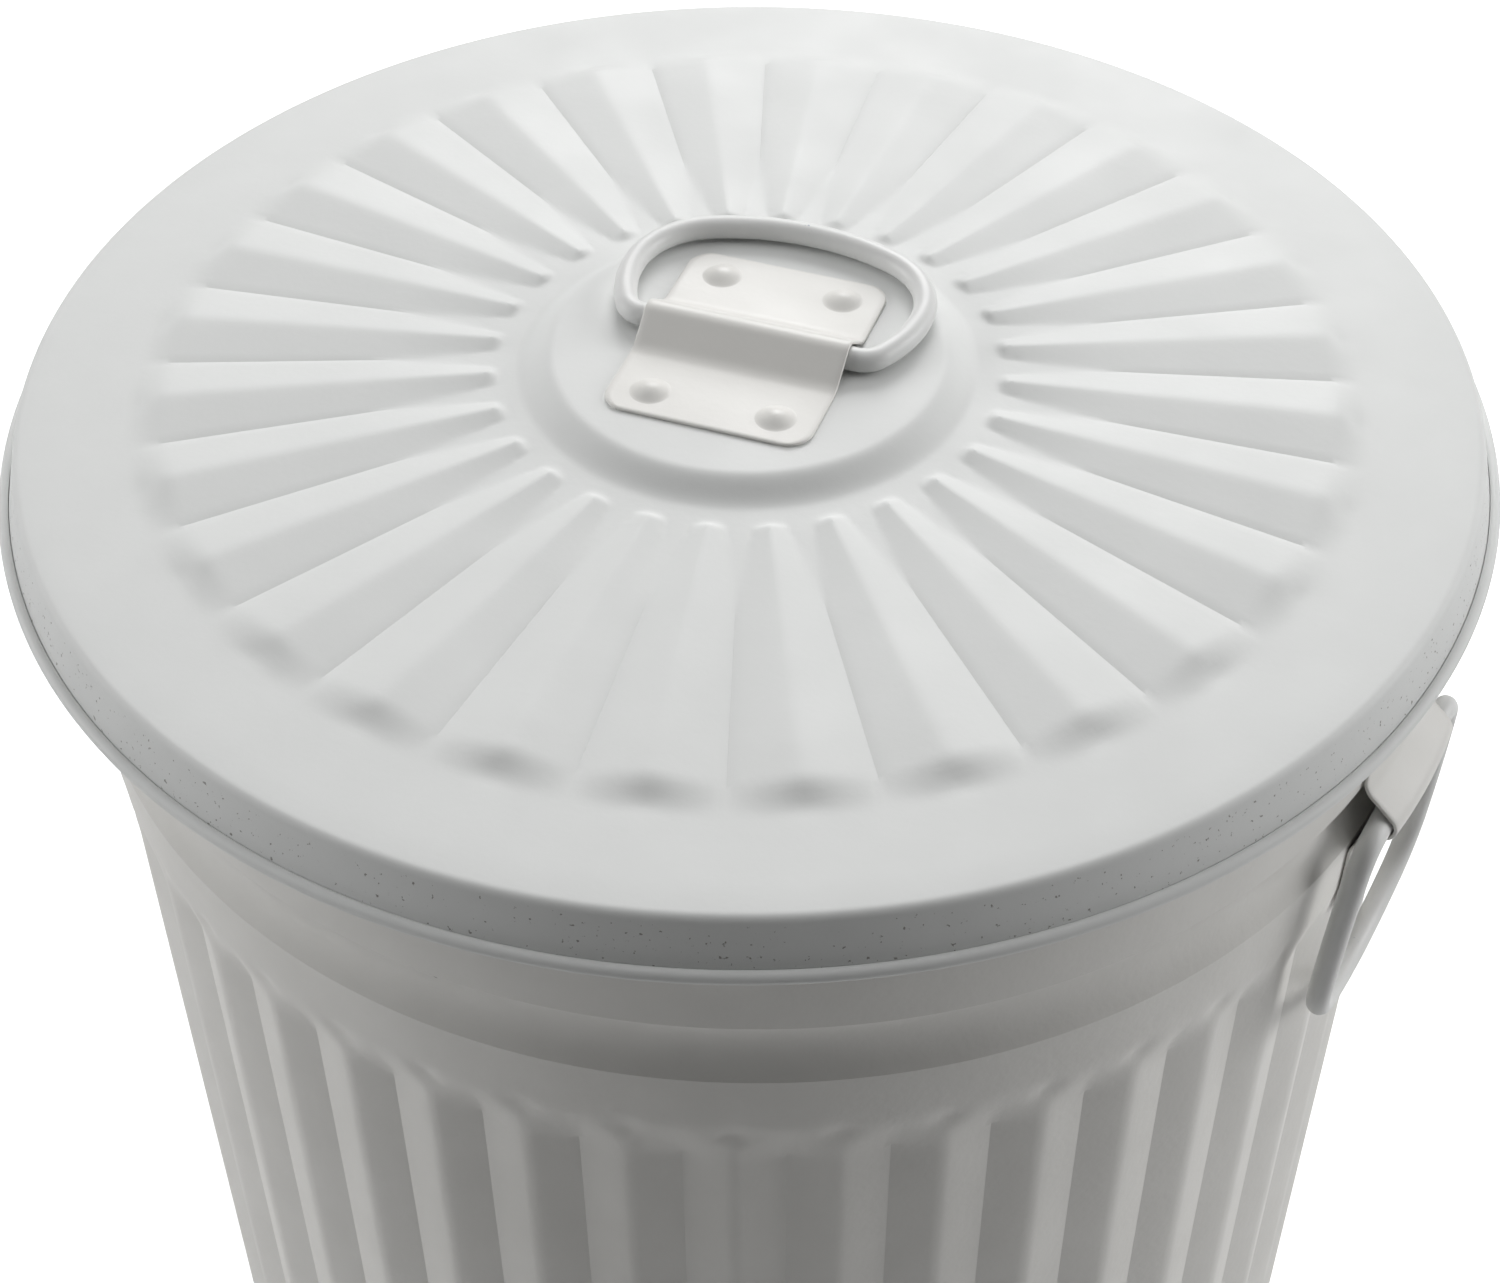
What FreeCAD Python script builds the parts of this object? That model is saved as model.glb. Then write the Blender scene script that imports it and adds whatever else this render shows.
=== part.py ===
"""Round lidded can of painted sheet steel: fluted wall, pressed lid, strap handles with swinging rings.

Millimetres, +Z up. The can's axis is the Z axis and its foot stands on z = 0.
The two side handles are at +X (right) and -X (left).
"""
import FreeCAD, Part
import math
import os
import Sketcher

doc = FreeCAD.newDocument("lidded_can")

SAME_NUMBER = 1e-9
SAME_PLACE = 0.05

# ---------------------------------------------------------------- sizes
# name: (value, what it is)
SIZES = {
    "wall_sheet": (0.8, "sheet thickness of the can wall and the pan"),
    "can_height": (580, "floor to the top of the curled rim"),
    "foot_radius": (203, "outside of the wall at the floor"),
    "rim_radius": (216, "outside of the wall where the rim curl begins"),
    "rim_wire_diameter": (4, "wire inside the rim curl"),
    "wire_gap": (0.05, "clearance between a wire and its curl"),
    "curl_open_angle": (60, "part of the full turn that a curl leaves open, degrees"),
    "band_height": (53.5, "rim top down to the groove"),
    "groove_width": (23.5, "height of the rolled groove"),
    "groove_depth": (4, "depth of the rolled groove"),
    "plain_height": (20.5, "plain wall between groove and flutes"),
    "flute_count": (44, "flutes around the wall"),
    "flute_phase": (2.45, "direction of the first flute crest, degrees"),
    "flute_depth": (3.5, "crest to valley of a flute"),
    "flute_set_in": (1.2, "crest of a flute inside the plain wall"),
    "flute_fade": (11, "height over which a flute fades out"),
    "flute_bottom": (60, "lower end of the full flutes"),
    "pan_height": (16, "underside of the bottom above the floor"),
    "pan_corner": (4, "inside corner radius of the pan"),
    "foot_sheet": (1, "sheet thickness of the foot hoop"),
    "foot_height": (14, "height of the foot hoop"),
    "seat_gap": (0.1, "clearance between nested sheets"),
    "lid_sheet": (0.8, "sheet thickness of the lid"),
    "lid_radius": (224.7, "where the lid's top meets its skirt"),
    "lid_rise": (8, "rise of the lid's cone from edge to centre"),
    "lid_seat_gap": (0.3, "lid above the rim curl"),
    "lid_slide_angle": (209.3, "direction the loose lid has slid to, degrees"),
    "disc_radius": (61.7, "flat of the raised disc"),
    "disc_step_width": (8, "width of the step round the disc"),
    "disc_height": (5.48, "height of the step round the disc"),
    "edge_rounding": (3, "rounding between lid top and skirt"),
    "skirt_height": (17, "depth of the skirt"),
    "skirt_flare": (3.4, "outward flare of the skirt"),
    "lid_wire_diameter": (2.2, "wire inside the lid's edge curl"),
    "ridge_count": (28, "ridges on the lid"),
    "ridge_phase": (7.93, "direction of the first ridge, degrees"),
    "ridge_inner_radius": (79, "inner end of a ridge"),
    "ridge_peak_radius": (167, "where a ridge is highest"),
    "ridge_outer_radius": (191, "outer tip of a ridge"),
    "ridge_inner_height": (1.7, "height at the inner end"),
    "ridge_peak_height": (3.1, "height at the peak"),
    "ridge_tip_height": (0.1, "height left at the outer tip"),
    "ridge_fill": (0.94, "ridge width over ridge spacing"),
    "rod_diameter": (7.5, "round rod of the rings"),
    "rod_gap": (0.5, "rod to channel, all round"),
    "strap_sheet": (1.1, "sheet thickness of straps and ears"),
    "strap_fold": (8, "outer radius of the fold at the channel's foot"),
    "strap_fold_reach": (16, "rod axis to the start of the fold"),
    "strap_corner": (8, "corner radius of a strap"),
    "strap_width": (66, "lid strap along the rod"),
    "strap_length": (85, "lid strap across the rod"),
    "strap_direction": (9.3, "direction of the lid strap's rod, degrees"),
    "rod_lift": (0.4, "rod above the disc"),
    "strap_rivet_along": (20, "lid rivets from the middle along the rod"),
    "strap_rivet_across": (31.5, "lid rivets from the rod axis"),
    "ear_width": (50, "ear along its rod"),
    "ear_length": (86, "ear down the wall"),
    "ear_wall_gap": (0.3, "ear to the plain wall"),
    "ear_rod_level": (514, "height of the side rings' rod axis"),
    "ear_rod_stand": (6.2, "rod axis out from the plain wall"),
    "ear_rivet_along": (16, "ear rivets from the middle along the rod"),
    "ear_rivet_across": (23.5, "ear rivets from the rod axis"),
    "rivet_shank": (2.4, "radius of a rivet's shank"),
    "rivet_head_radius": (6.25, "radius of a rivet's head"),
    "rivet_head_height": (2.5, "height of a rivet's head"),
    "rivet_tail_radius": (3.4, "radius of a rivet's closed end"),
    "rivet_tail_height": (1.2, "height of a rivet's closed end"),
    "rivet_fit": (0.05, "shank to hole, all round"),
    "lid_ring_half": (34.5, "half the straight of the lid ring"),
    "lid_ring_corner": (8, "corner radius of the lid ring"),
    "lid_ring_corner_turn": (60, "turn of the corner, degrees"),
    "lid_ring_side": (44, "side radius of the lid ring"),
    "lid_ring_side_turn": (30, "turn of the side, degrees"),
    "lid_ring_shoulder": (28, "shoulder radius of the lid ring"),
    "lid_ring_shoulder_turn": (68, "turn of the shoulder, degrees"),
    "side_ring_half": (29, "half the straight of a side ring"),
    "side_ring_corner": (10, "corner radius of a side ring"),
    "side_ring_corner_turn": (78, "turn of the corner, degrees"),
    "side_ring_side": (185, "side radius of a side ring"),
    "side_ring_side_turn": (15, "turn of the side, degrees"),
    "side_ring_shoulder": (21, "shoulder radius of a side ring"),
    "side_ring_shoulder_turn": (64, "turn of the shoulder, degrees"),
    "ring_rest_gap": (0.3, "resting ring to the wall"),
}

# Sizes that follow from the driving ones, in reading order.
DERIVED = {
    "rim_curl_inner": "rim_wire_diameter / 2 + wire_gap",
    "rim_curl_outer": "rim_curl_inner + wall_sheet",
    "rim_curl_level": "can_height - rim_curl_outer",
    "rim_curl_radius": "rim_radius + rim_curl_inner",
    "taper": "(rim_radius - foot_radius) / rim_curl_level",
    "taper_cos": "1 / sqrt(1 + taper ^ 2)",
    "taper_sin": "taper * taper_cos",
    "groove_top": "can_height - band_height",
    "groove_foot": "groove_top - groove_width",
    "flute_end": "groove_foot - plain_height",
    "flute_top": "flute_end - flute_fade",
    "wall_foot": "foot_sheet + seat_gap",
    "pan_top": "pan_height + wall_sheet",
    "rim_reach": "rim_curl_radius + rim_curl_outer",
    "lid_plane": "can_height + lid_seat_gap + lid_sheet",
    "lid_slope": "lid_rise / lid_radius",
    "skirt_end_radius": "lid_radius + skirt_flare",
    "skirt_length": "sqrt(skirt_height ^ 2 + skirt_flare ^ 2)",
    "skirt_out": "skirt_height / skirt_length",
    "skirt_up": "skirt_flare / skirt_length",
    "lid_curl_inner": "lid_wire_diameter / 2 + wire_gap",
    "lid_curl_outer": "lid_curl_inner + lid_sheet",
    "lid_curl_radius": "skirt_end_radius + lid_curl_inner * skirt_out",
    "lid_curl_level": "lid_curl_inner * skirt_up - skirt_height",
    "skirt_inner": "lid_sheet / skirt_out",
    "lid_shift": "lid_radius - skirt_inner - rim_reach",
    "disc_foot_radius": "disc_radius + disc_step_width",
    "disc_foot_level": "lid_rise - lid_slope * disc_foot_radius",
    "disc_level": "disc_foot_level + disc_height",
    "disc_bend": "(disc_step_width ^ 2 + disc_height ^ 2) / (4 * disc_height)",
    "disc_bend_sin": "disc_step_width / (2 * disc_bend)",
    "disc_bend_cos": "1 - disc_height / (2 * disc_bend)",
    "channel_inner": "rod_diameter / 2 + rod_gap",
    "channel_outer": "channel_inner + strap_sheet",
    "fold_inner": "strap_fold + strap_sheet",
    "lid_rod_stand": "rod_diameter / 2 + rod_lift",
    "lid_rod_level": "lid_plane + disc_level + lid_rod_stand",
    "ear_wall_radius": "foot_radius + taper * ear_rod_level",
    "ear_bow": "ear_width ^ 2 / (8 * ear_wall_radius)",
    "ear_crown_stand": "ear_rod_stand - ear_wall_gap + ear_bow",
    "ear_axis_out": "-(ear_wall_radius * taper_cos + ear_wall_gap)",
    "ear_axis_up": "-(ear_wall_radius * taper_sin)",
    "rivet_dome": "(rivet_head_radius ^ 2 + rivet_head_height ^ 2) / (2 * rivet_head_height)",
    "ear_grip": "strap_sheet + ear_wall_gap + wall_sheet + seat_gap",
    "lid_grip": "strap_sheet + lid_sheet",
}

sheet = doc.addObject("Spreadsheet::Sheet", "sizes")
sheet_row = 0


def put(alias, content, note=""):
    """Write one named cell: its name, its content and what it is."""
    global sheet_row
    sheet_row += 1
    sheet.set(f"A{sheet_row}", alias)
    sheet.set(f"B{sheet_row}", content)
    sheet.setAlias(f"B{sheet_row}", alias)
    sheet.set(f"C{sheet_row}", note)


for alias, (value, note) in SIZES.items():
    put(alias, str(value), note)
for alias, formula in DERIVED.items():
    put(alias, "=" + formula)
sheet.recompute()


def size(alias):
    """Number in a named cell."""
    return float(sheet.get(alias))


def stamped_profile(prefix, stand):
    """Cells for a strap's channel: the straight ramp touches the crown and the fold.

    lean = asin((crown + fold) / d) - atan(rise / reach), d = distance of the two centres.
    """
    put(prefix + "_fold_level", "=strap_sheet + strap_fold")
    put(prefix + "_rise", f"={prefix}_fold_level - {stand}")
    put(prefix + "_centres", f"=sqrt(strap_fold_reach ^ 2 + {prefix}_rise ^ 2)")
    sum_ratio = f"(channel_outer + strap_fold) / {prefix}_centres"
    put(prefix + "_sin_sum", "=" + sum_ratio)
    put(prefix + "_cos_sum", f"=sqrt(1 - {prefix}_sin_sum ^ 2)")
    put(prefix + "_lean_sin",
        f"=({prefix}_sin_sum * strap_fold_reach - {prefix}_cos_sum * {prefix}_rise) / {prefix}_centres")
    put(prefix + "_lean_cos",
        f"=({prefix}_cos_sum * strap_fold_reach + {prefix}_sin_sum * {prefix}_rise) / {prefix}_centres")


stamped_profile("strap", "lid_rod_stand")
stamped_profile("ear", "ear_crown_stand")
sheet.recompute()


# ---------------------------------------------------------------- helpers
def new_body(name):
    """Empty body with its label."""
    body = doc.addObject("PartDesign::Body", name)
    body.Label = name
    return body


def new_sketch(body, name, role, offset=None):
    """Sketch on one of the body's own base planes, with an optional bound offset along its normal."""
    sketch = body.newObject("Sketcher::SketchObject", name)
    plane = next(item for item in body.Origin.OriginFeatures if item.Role == role)
    sketch.AttachmentSupport = [(plane, "")]
    sketch.MapMode = "FlatFace"
    if offset is not None:
        sketch.setExpression("AttachmentOffset.Base.z", offset)
    return sketch


def bind(sketch, kind, where, formula, value):
    """Add one dimension and tie it to the sheet."""
    index = sketch.addConstraint(Sketcher.Constraint(kind, *where, value))
    sketch.setExpression(f"Constraints[{index}]", formula)


def outline(sketch, corners):
    """Closed outline through corners whose coordinates live in the sheet.

    corners: (across, up) formulas, or (across, up, radius, turn) where the edge that
    leaves the corner is an arc of that radius; turn +1 runs counter-clockwise, -1 clockwise.
    """
    prefix = f"{sketch.Name}_{sketch.GeometryCount}"
    cells = []
    for count, corner in enumerate(corners):
        names = [f"{prefix}_{axis}_{count}" for axis in ("across", "up")]
        for name, formula in zip(names, corner):
            put(name, "=" + formula)
        cells.append(names)
    sheet.recompute()
    places = [(size(a), size(b)) for a, b in cells]
    ends = []
    for count, corner in enumerate(corners):
        (x0, y0) = places[count]
        (x1, y1) = places[(count + 1) % len(places)]
        if len(corner) == 2:
            start = FreeCAD.Vector(x0, y0, 0)
            stop = FreeCAD.Vector(x1, y1, 0)
            edge = sketch.addGeometry(Part.LineSegment(start, stop))
            ends.append((edge, 1, 2))
            continue
        put(f"{prefix}_bend_{count}", "=" + corner[2])
        sheet.recompute()
        radius = size(f"{prefix}_bend_{count}")
        turn = corner[3]
        chord = math.hypot(x1 - x0, y1 - y0)
        reach = math.sqrt(max(radius ** 2 - chord ** 2 / 4, 0))
        centre = FreeCAD.Vector((x0 + x1) / 2 - turn * reach * (y1 - y0) / chord,
                                (y0 + y1) / 2 + turn * reach * (x1 - x0) / chord, 0)
        first = math.atan2(y0 - centre.y, x0 - centre.x)
        last = math.atan2(y1 - centre.y, x1 - centre.x)
        if turn < 0:
            first, last = last, first
        circle = Part.Circle(centre, FreeCAD.Vector(0, 0, 1), radius)
        edge = sketch.addGeometry(Part.ArcOfCircle(circle, first, last))
        ends.append((edge, 1, 2) if turn > 0 else (edge, 2, 1))
    for count, (edge, start, stop) in enumerate(ends):
        following = ends[(count + 1) % len(ends)]
        sketch.addConstraint(Sketcher.Constraint("Coincident", edge, stop, following[0], following[1]))
    for count, (edge, start, stop) in enumerate(ends):
        for kind, axis, name, value in (("DistanceX", -2, cells[count][0], places[count][0]),
                                        ("DistanceY", -1, cells[count][1], places[count][1])):
            if abs(value) < SAME_NUMBER:
                sketch.addConstraint(Sketcher.Constraint("PointOnObject", edge, start, axis))
            else:
                bind(sketch, kind, (-1, 1, edge, start), f"sizes.{name}", value)
        if len(corners[count]) == 4:
            radius_name = f"{prefix}_bend_{count}"
            bind(sketch, "Radius", (edge,), f"sizes.{radius_name}", size(radius_name))
    return ends


def revolved(body, sketch, name, angle=360, axis=None, cut=False, both=False):
    """Turn a sketch round an axis, by default the sketch's own upright one."""
    kind = "PartDesign::Groove" if cut else "PartDesign::Revolution"
    feature = body.newObject(kind, name)
    feature.Profile = sketch
    feature.ReferenceAxis = (sketch, [axis or "V_Axis"])
    feature.Angle = angle
    feature.Midplane = both
    sketch.Visibility = False
    doc.recompute()
    return feature


def extruded(body, sketch, name, length=None, cut=False, both=False, turned=False):
    """Extrude a sketch by a bound length, or cut with it right through."""
    feature = body.newObject("PartDesign::Pocket" if cut else "PartDesign::Pad", name)
    feature.Profile = sketch
    if length is None:
        feature.Type = "ThroughAll"
    else:
        feature.setExpression("Length", length)
    feature.Midplane = both
    feature.Reversed = turned
    sketch.Visibility = False
    doc.recompute()
    return feature


def place(item, x="0", y="0", z="0"):
    """Bind a part's position to the sheet."""
    for axis, formula in zip("xyz", (x, y, z)):
        item.setExpression(f"Placement.Base.{axis}", formula)


nodes = []


def keep(item):
    """Add a finished sub-part to the list that is written out."""
    nodes.append(item)


# ---------------------------------------------------------------- can wall
def wall_radius(level):
    """Plain wall's outside radius at a height: foot radius + taper * height."""
    return size("foot_radius") + size("taper") * level


def polar(radius, angle, level):
    """Point at a radius, an angle in degrees and a height."""
    turn = math.radians(angle)
    return FreeCAD.Vector(radius * math.cos(turn), radius * math.sin(turn), level)


def wall_ring(level, inset, crest=0.0, valley=0.0):
    """Closed wire round the wall: a circle in arcs, or a star when crest and valley differ."""
    count = int(size("flute_count"))
    pitch = 360 / count
    radius = wall_radius(level) - inset
    edges = []
    for step in range(2 * count):
        first = size("flute_phase") + step * pitch / 2
        last = first + pitch / 2
        drops = (crest, valley) if step % 2 == 0 else (valley, crest)
        start = polar(radius - drops[0], first, level)
        stop = polar(radius - drops[1], last, level)
        if crest == valley:
            middle = polar(radius - crest, (first + last) / 2, level)
            edges.append(Part.Arc(start, middle, stop).toShape())
        else:
            edges.append(Part.makeLine(start, stop))
    return Part.Wire(edges)


def fluted_plug(inset, below, above):
    """Solid bounded by the fluted surface, moved inward by the inset and lengthened at its ends."""
    crest = size("flute_set_in")
    valley = crest + size("flute_depth")
    rings = [
        wall_ring(size("wall_foot") - below, inset),
        wall_ring(size("flute_bottom") - size("flute_fade"), inset),
        wall_ring(size("flute_bottom"), inset, crest, valley),
        wall_ring(size("flute_top"), inset, crest, valley),
        wall_ring(size("flute_end"), inset),
    ]
    if above:
        rings.append(wall_ring(size("flute_end") + above, inset))
    return Part.makeLoft(rings, True, True)


def rim_section():
    """Section of the upper wall in the XZ plane: plain wall, groove, band and rim curl."""
    thick = size("wall_sheet")
    curl_x = size("rim_curl_radius")
    curl_z = size("rim_curl_level")
    levels = [size("flute_end"), size("groove_foot"), size("groove_top")]
    middle = (levels[1] + levels[2]) / 2

    def at(level, inset):
        return FreeCAD.Vector(wall_radius(level) - inset, 0, level)

    def curl(radius, angle):
        turn = math.radians(angle)
        return FreeCAD.Vector(curl_x + radius * math.cos(turn), 0, curl_z + radius * math.sin(turn))

    end = size("curl_open_angle") - 180
    half = (180 + end) / 2
    edges = []
    for inset, radius in ((0, size("rim_curl_inner")), (thick, size("rim_curl_outer"))):
        groove_floor = at(middle, inset + size("groove_depth"))
        side = [
            Part.makeLine(at(levels[0], inset), at(levels[1], inset)),
            Part.Arc(at(levels[1], inset), groove_floor, at(levels[2], inset)).toShape(),
            Part.makeLine(at(levels[2], inset), curl(radius, 180)),
            Part.Arc(curl(radius, 180), curl(radius, half), curl(radius, end)).toShape(),
        ]
        edges.append(side)
    closing = [
        Part.makeLine(curl(size("rim_curl_inner"), end), curl(size("rim_curl_outer"), end)),
        Part.makeLine(at(levels[0], thick), at(levels[0], 0)),
    ]
    return Part.Face(Part.Wire(Part.__sortEdges__(edges[0] + edges[1] + closing)))


overrun = size("wall_sheet")
fluted_part = fluted_plug(0, 0, 0).cut(fluted_plug(size("wall_sheet"), overrun, overrun))
rim_part = rim_section().revolve(FreeCAD.Vector(0, 0, 0), FreeCAD.Vector(0, 0, 1), 360)
wall_shape = fluted_part.fuse(rim_part)

# Rivet holes: square to the wall's slope, on both sides.
slope_angle = math.degrees(math.atan(size("taper")))
upright = FreeCAD.Vector(0, 0, 1)
origin = FreeCAD.Vector(0, 0, 0)


def wall_frame(angle, level, standoff):
    """Placement on the wall: x along it, y up its slope, z outward, origin off the plain wall.

    A third of a turn about the space diagonal takes x to y, y to z and z to x.
    """
    tip = FreeCAD.Rotation(FreeCAD.Vector(1, 1, 1), 120)
    tilt = FreeCAD.Rotation(FreeCAD.Vector(0, 1, 0), slope_angle)
    turn = FreeCAD.Rotation(upright, angle)
    base = turn.multVec(FreeCAD.Vector(wall_radius(level), 0, level))
    rotation = turn * tilt * tip
    return FreeCAD.Placement(base + rotation.multVec(upright) * standoff, rotation)


def ear_frame(side_angle):
    """Placement of an ear: its underside's middle, behind the rod."""
    return wall_frame(side_angle, size("ear_rod_level"), size("ear_wall_gap"))


def ear_rivet_frames(side_angle):
    """Placements of an ear's four rivets, on the ear's outer face."""
    standoff = size("ear_wall_gap") + size("strap_sheet")
    frames = []
    for up in (1, -1):
        for along in (1, -1):
            level = size("ear_rod_level") + up * size("ear_rivet_across") * size("taper_cos")
            swing = math.degrees(math.asin(along * size("ear_rivet_along") / wall_radius(level)))
            frames.append(wall_frame(side_angle + swing, level, standoff))
    return frames


SIDES = (("right", 0), ("left", 180))
hole_radius = size("rivet_shank") + size("rivet_fit")
bore_reach = 2 * size("rivet_head_radius")
bores = []
for side, side_angle in SIDES:
    for frame in ear_rivet_frames(side_angle):
        bore = Part.makeCylinder(hole_radius, 2 * bore_reach, FreeCAD.Vector(0, 0, -bore_reach), upright)
        bore.Placement = frame
        bores.append(bore)
wall_shape = wall_shape.cut(Part.makeCompound(bores))
can_wall = doc.addObject("Part::Feature", "can_wall")
can_wall.Label = "can_wall"
can_wall.Shape = wall_shape.Solids[0]
can_wall.Placement = FreeCAD.Placement()
keep(can_wall)

# ---------------------------------------------------------------- rim wire
rim_wire = doc.addObject("Part::Torus", "rim_wire")
rim_wire.Label = "rim_wire"
rim_wire.setExpression("Radius1", "sizes.rim_curl_radius")
rim_wire.setExpression("Radius2", "sizes.rim_wire_diameter / 2")
place(rim_wire, z="sizes.rim_curl_level")
keep(rim_wire)


# ---------------------------------------------------------------- bottom and foot hoop
def sloped(offset, level):
    """Radius formula that follows the wall's taper: plain wall outside + offset at a height."""
    return f"foot_radius + taper * ({level}) + {offset}"


can_bottom = new_body("can_bottom")
pan_sketch = new_sketch(can_bottom, "pan_section", "XZ_Plane")
pan_outside = "-(wall_sheet + seat_gap)"
pan_inside = "-(2 * wall_sheet + seat_gap)"
pan_round = "(pan_corner + wall_sheet)"
outline(pan_sketch, [
    ("0", "pan_height"),
    (sloped(f"{pan_inside} - pan_corner", "pan_height"), "pan_height", "pan_corner", -1),
    (sloped(pan_inside, "pan_height - pan_corner"), "pan_height - pan_corner"),
    (sloped(pan_inside, "wall_foot"), "wall_foot"),
    (sloped(pan_outside, "wall_foot"), "wall_foot"),
    (sloped(pan_outside, "pan_height - pan_corner"), "pan_height - pan_corner", pan_round, 1),
    (sloped(f"{pan_outside} - {pan_round}", "pan_height"), "pan_top"),
    ("0", "pan_top"),
])
revolved(can_bottom, pan_sketch, "pan_turn")
keep(can_bottom)

foot_hoop = new_body("foot_hoop")
hoop_sketch = new_sketch(foot_hoop, "hoop_section", "XZ_Plane")
hoop_out = "seat_gap"
hoop_in = "-(2 * wall_sheet + 2 * seat_gap)"
outline(hoop_sketch, [
    (sloped(f"{hoop_in} - foot_sheet", "0"), "0"),
    (sloped(f"{hoop_out} + foot_sheet", "0"), "0"),
    (sloped(f"{hoop_out} + foot_sheet", "foot_height"), "foot_height"),
    (sloped(hoop_out, "foot_height"), "foot_height"),
    (sloped(hoop_out, "foot_sheet"), "foot_sheet"),
    (sloped(hoop_in, "foot_sheet"), "foot_sheet"),
    (sloped(hoop_in, "pan_height - pan_corner - foot_sheet"), "pan_height - pan_corner - foot_sheet"),
    (sloped(f"{hoop_in} - foot_sheet", "pan_height - pan_corner - foot_sheet"),
     "pan_height - pan_corner - foot_sheet"),
])
revolved(foot_hoop, hoop_sketch, "hoop_turn")
keep(foot_hoop)


# ---------------------------------------------------------------- straps and ears
def channel_corners(prefix, stand, end):
    """Outline of a stamped strap across its rod: flat, fold, ramp, crown, ramp, fold, flat."""
    def touch(centre_across, centre_up, radius, sign):
        return (f"{sign} * ({centre_across} + ({radius}) * {prefix}_lean_sin)",
                f"{centre_up} + ({radius}) * {prefix}_lean_cos")

    fold = ("strap_fold_reach", f"{prefix}_fold_level")
    crown = ("0", stand)
    return [
        (f"-({end})", "0"),
        ("-strap_fold_reach", "0", "fold_inner", 1),
        touch(*fold, "-fold_inner", -1),
        touch(*crown, "channel_inner", -1) + ("channel_inner", -1),
        touch(*crown, "channel_inner", 1),
        touch(*fold, "-fold_inner", 1) + ("fold_inner", 1),
        ("strap_fold_reach", "0"),
        (end, "0"),
        (end, "strap_sheet"),
        ("strap_fold_reach", "strap_sheet", "strap_fold", -1),
        touch(*fold, "-strap_fold", 1),
        touch(*crown, "channel_outer", 1) + ("channel_outer", 1),
        touch(*crown, "channel_outer", -1),
        touch(*fold, "-strap_fold", -1) + ("strap_fold", -1),
        ("-strap_fold_reach", "strap_sheet"),
        (f"-({end})", "strap_sheet"),
    ]


def rounded_plate(sketch, half_along, half_across, corner):
    """Rectangle about the origin with rounded corners."""
    straight_along = f"({half_along} - {corner})"
    straight_across = f"({half_across} - {corner})"
    outline(sketch, [
        (f"-{straight_along}", f"-{half_across}"),
        (straight_along, f"-{half_across}", corner, 1),
        (half_along, f"-{straight_across}"),
        (half_along, straight_across, corner, 1),
        (straight_along, half_across),
        (f"-{straight_along}", half_across, corner, 1),
        (f"-{half_along}", straight_across),
        (f"-{half_along}", f"-{straight_across}", corner, 1),
    ])


def trim(body, name, half_along, half_across):
    """Cut away everything outside a rounded plate."""
    sketch = new_sketch(body, name + "_sketch", "XY_Plane")
    spare = f"({half_along} + {half_across})"
    outline(sketch, [(f"-{spare}", f"-{spare}"), (spare, f"-{spare}"), (spare, spare), (f"-{spare}", spare)])
    rounded_plate(sketch, half_along, half_across, "strap_corner")
    extruded(body, sketch, name, cut=True, both=True)


def drill(body, frames):
    """Rivet holes in a body, at placements given in the body's own frame."""
    for count, frame in enumerate(frames, 1):
        hole = body.newObject("PartDesign::SubtractiveCylinder", f"{body.Name}_hole_{count}")
        hole.setExpression("Radius", "sizes.rivet_shank + sizes.rivet_fit")
        hole.setExpression("Height", "4 * sizes.rivet_head_radius")
        drop = FreeCAD.Placement(upright * (-2 * size("rivet_head_radius")), FreeCAD.Rotation())
        hole.Placement = frame.multiply(drop)
        doc.recompute()


def make_rivet(name, grip, frame):
    """Rivet: domed head above z = 0, shank through the grip, closed end below."""
    body = new_body(name)
    sketch = new_sketch(body, name + "_section", "XZ_Plane")
    outline(sketch, [
        ("0", "rivet_head_height", "rivet_dome", -1),
        ("rivet_head_radius", "0"),
        ("rivet_shank", "0"),
        ("rivet_shank", f"-{grip}"),
        ("rivet_tail_radius", f"-{grip}"),
        ("rivet_tail_radius", f"-({grip} + rivet_tail_height)"),
        ("0", f"-({grip} + rivet_tail_height)"),
    ])
    revolved(body, sketch, name + "_turn")
    body.Placement = frame
    keep(body)


# Ears: x along the rod, y up the wall's slope, z outward, turned about the can's axis.
for side, side_angle in SIDES:
    ear = new_body(side + "_ear")
    ear_sketch = new_sketch(ear, side + "_ear_section", "YZ_Plane")
    reach = size("ear_length")
    axis_out = size("ear_axis_out")
    axis_up = size("ear_axis_up")
    low = FreeCAD.Vector(axis_up - reach * size("taper_cos"), axis_out + reach * size("taper_sin"), 0)
    high = FreeCAD.Vector(axis_up + reach * size("taper_cos"), axis_out - reach * size("taper_sin"), 0)
    axis_line = ear_sketch.addGeometry(Part.LineSegment(low, high), True)
    for point, sign, ends in ((1, "-", low), (2, "+", high)):
        bind(ear_sketch, "DistanceX", (-1, 1, axis_line, point),
             f"sizes.ear_axis_up {sign} sizes.ear_length * sizes.taper_cos", ends.x)
        opposite = "+" if sign == "-" else "-"
        bind(ear_sketch, "DistanceY", (-1, 1, axis_line, point),
             f"sizes.ear_axis_out {opposite} sizes.ear_length * sizes.taper_sin", ends.y)
    outline(ear_sketch, channel_corners("ear", "ear_crown_stand", "(ear_length / 2 + strap_corner)"))
    span = 2 * math.degrees(math.asin(size("ear_width") / size("ear_wall_radius")))
    revolved(ear, ear_sketch, side + "_ear_turn", angle=span, axis="Axis0", both=True)
    trim(ear, side + "_ear_trim", "ear_width / 2", "ear_length / 2")
    inward = ear_frame(side_angle).inverse()
    drill(ear, [inward.multiply(frame) for frame in ear_rivet_frames(side_angle)])
    ear.Placement = ear_frame(side_angle)
    keep(ear)
    for count, frame in enumerate(ear_rivet_frames(side_angle), 1):
        make_rivet(f"{side}_ear_rivet_{count}", "ear_grip", frame)

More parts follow.
